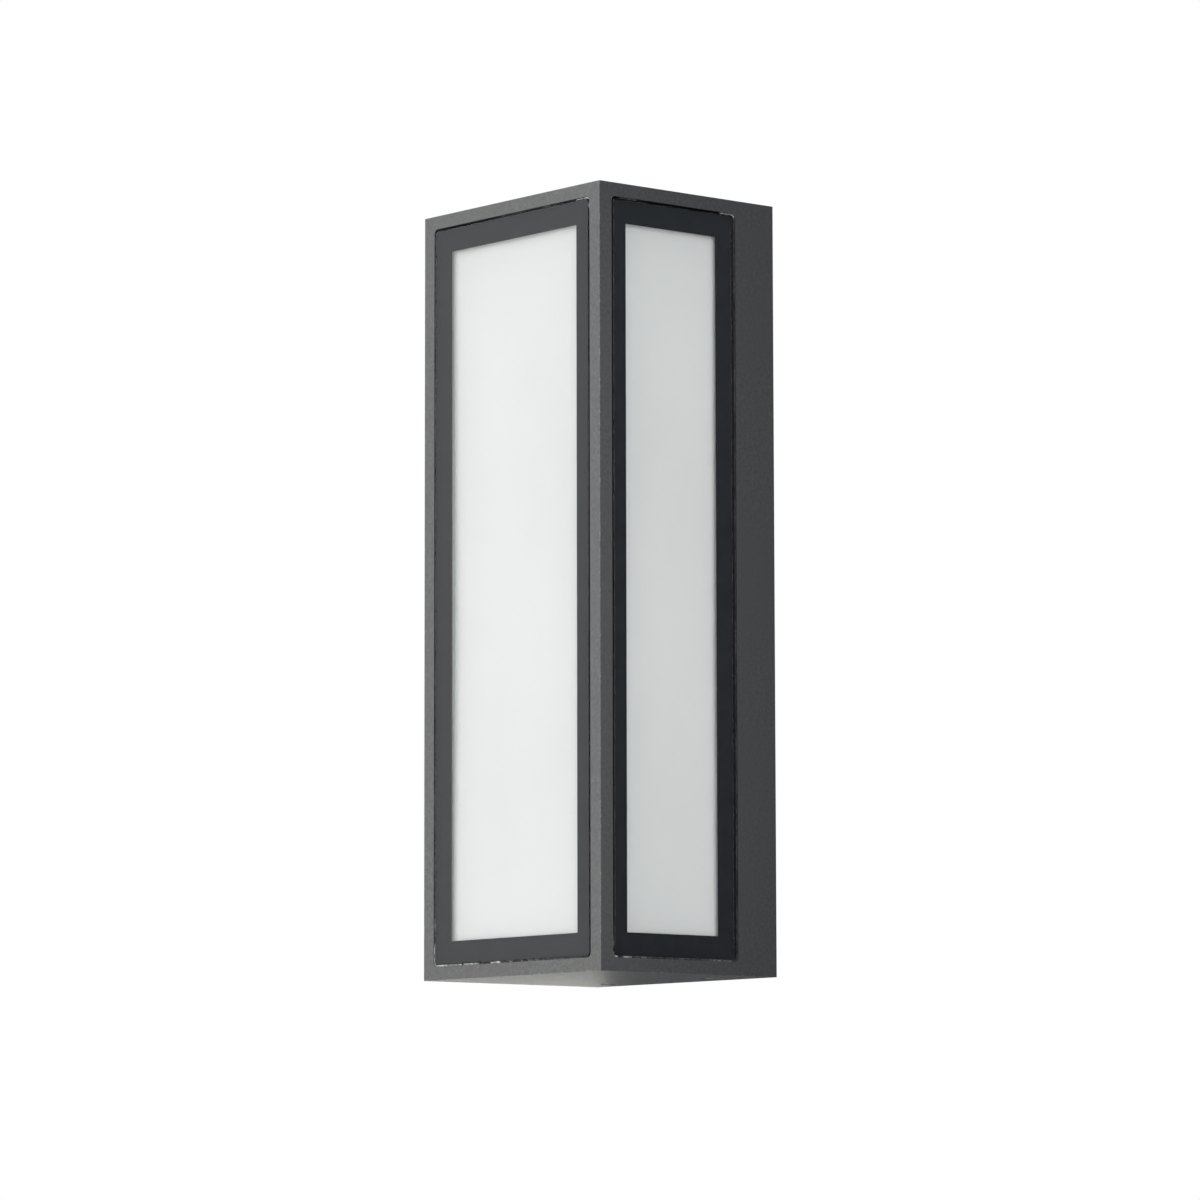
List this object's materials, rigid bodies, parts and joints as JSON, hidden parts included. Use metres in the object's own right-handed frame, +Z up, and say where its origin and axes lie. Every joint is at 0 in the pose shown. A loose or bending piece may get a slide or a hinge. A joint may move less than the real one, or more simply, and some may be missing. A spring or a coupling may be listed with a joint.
{
  "type": "outdoor wall lantern",
  "caption": "Slim rectangular outdoor wall lantern: a metal housing with black-bordered glass over opal sheets slides off a wall plate that holds a screw-cap lamp.",
  "frame": {"origin": "on the wall plane, midway between the two wall screws, at half the housing's height", "axes": "+X to the right seen from the front, +Y into the wall, +Z up"},
  "size_m": [0.107, 0.088, 0.3],
  "materials": {
    "housing_paint": "fine-textured metallic anthracite powder coat",
    "clear_glass": "polished float glass",
    "printed_border": "black enamel print on the back of the glass",
    "clear_silicone": "translucent, uneven, shiny",
    "opal_sheet": "satin opal acrylic",
    "foam_tape": "grey-green foam",
    "spring_steel": "bright rolled",
    "zinc_screws": "bright zinc plate",
    "stainless_screws": "plain stainless steel",
    "galvanised_plate": "galvanised sheet",
    "black_rubber": "matte EPDM",
    "porcelain": "glazed white",
    "brass": "bright rolled",
    "opal_globe": "frosted opal",
    "lamp_white": "satin white",
    "nickel_cap": "nickel plated",
    "black_insulator": "black glass-filled plastic",
    "block_white": "natural nylon",
    "brown_insulation": "silicone wire insulation",
    "blue_insulation": "silicone wire insulation",
    "green_insulation": "green and yellow wire insulation"
  },
  "bodies": {
    "wall_plate": {"base_plate": "galvanised_plate", "plate_rail": "galvanised_plate", "wall_gasket": "black_rubber", "housing_gasket": "black_rubber", "locating_pins": "zinc_screws", "cable_grommet": "black_rubber", "lampholder_bracket": "galvanised_plate", "bracket_screws": "zinc_screws", "lampholder_body": "porcelain", "lampholder_shell": "brass", "lampholder_contact": "brass", "lampholder_screws": "zinc_screws", "terminal_block": "block_white", "terminal_barrels": "brass", "terminal_screws": "zinc_screws", "terminal_block_screw": "zinc_screws", "earth_screw": "brass", "earth_washer": "zinc_screws", "earth_tag": "nickel_cap", "lead_live": "brown_insulation", "lead_neutral": "blue_insulation", "lead_earth": "green_insulation"},
    "front_housing": {"housing": "housing_paint", "front_glass": "clear_glass", "left_glass": "clear_glass", "right_glass": "clear_glass", "front_glass_print": "printed_border", "left_glass_print": "printed_border", "right_glass_print": "printed_border", "front_glass_seal": "clear_silicone", "left_glass_seal": "clear_silicone", "right_glass_seal": "clear_silicone", "front_diffuser": "opal_sheet", "left_diffuser": "opal_sheet", "right_diffuser": "opal_sheet", "diffuser_tapes": "foam_tape", "diffuser_clips": "spring_steel", "diffuser_clip_screws": "zinc_screws", "lock_nuts": "zinc_screws"},
    "left_lock": {"lock_screw_left": "stainless_screws"},
    "right_lock": {"lock_screw_right": "stainless_screws"},
    "lamp": {"lamp_globe": "opal_globe", "lamp_collar": "lamp_white", "lamp_cap": "nickel_cap", "lamp_cap_insulator": "black_insulator", "lamp_contact": "nickel_cap"}
  },
  "joints": [
    {"name": "housing_slide_off", "type": "slide", "parent": "wall_plate", "child": "front_housing", "axis": [0, -1, 0], "range_m": [0, 0.1]},
    {"name": "left_lock_loosen", "type": "slide", "parent": "front_housing", "child": "left_lock", "axis": [0, 0, -1], "range_m": [0, 0.003]},
    {"name": "right_lock_loosen", "type": "slide", "parent": "front_housing", "child": "right_lock", "axis": [0, 0, -1], "range_m": [0, 0.003]},
    {"name": "lamp_lift_out", "type": "slide", "parent": "wall_plate", "child": "lamp", "axis": [0, 0, 1], "range_m": [0, 0.034]}
  ]
}
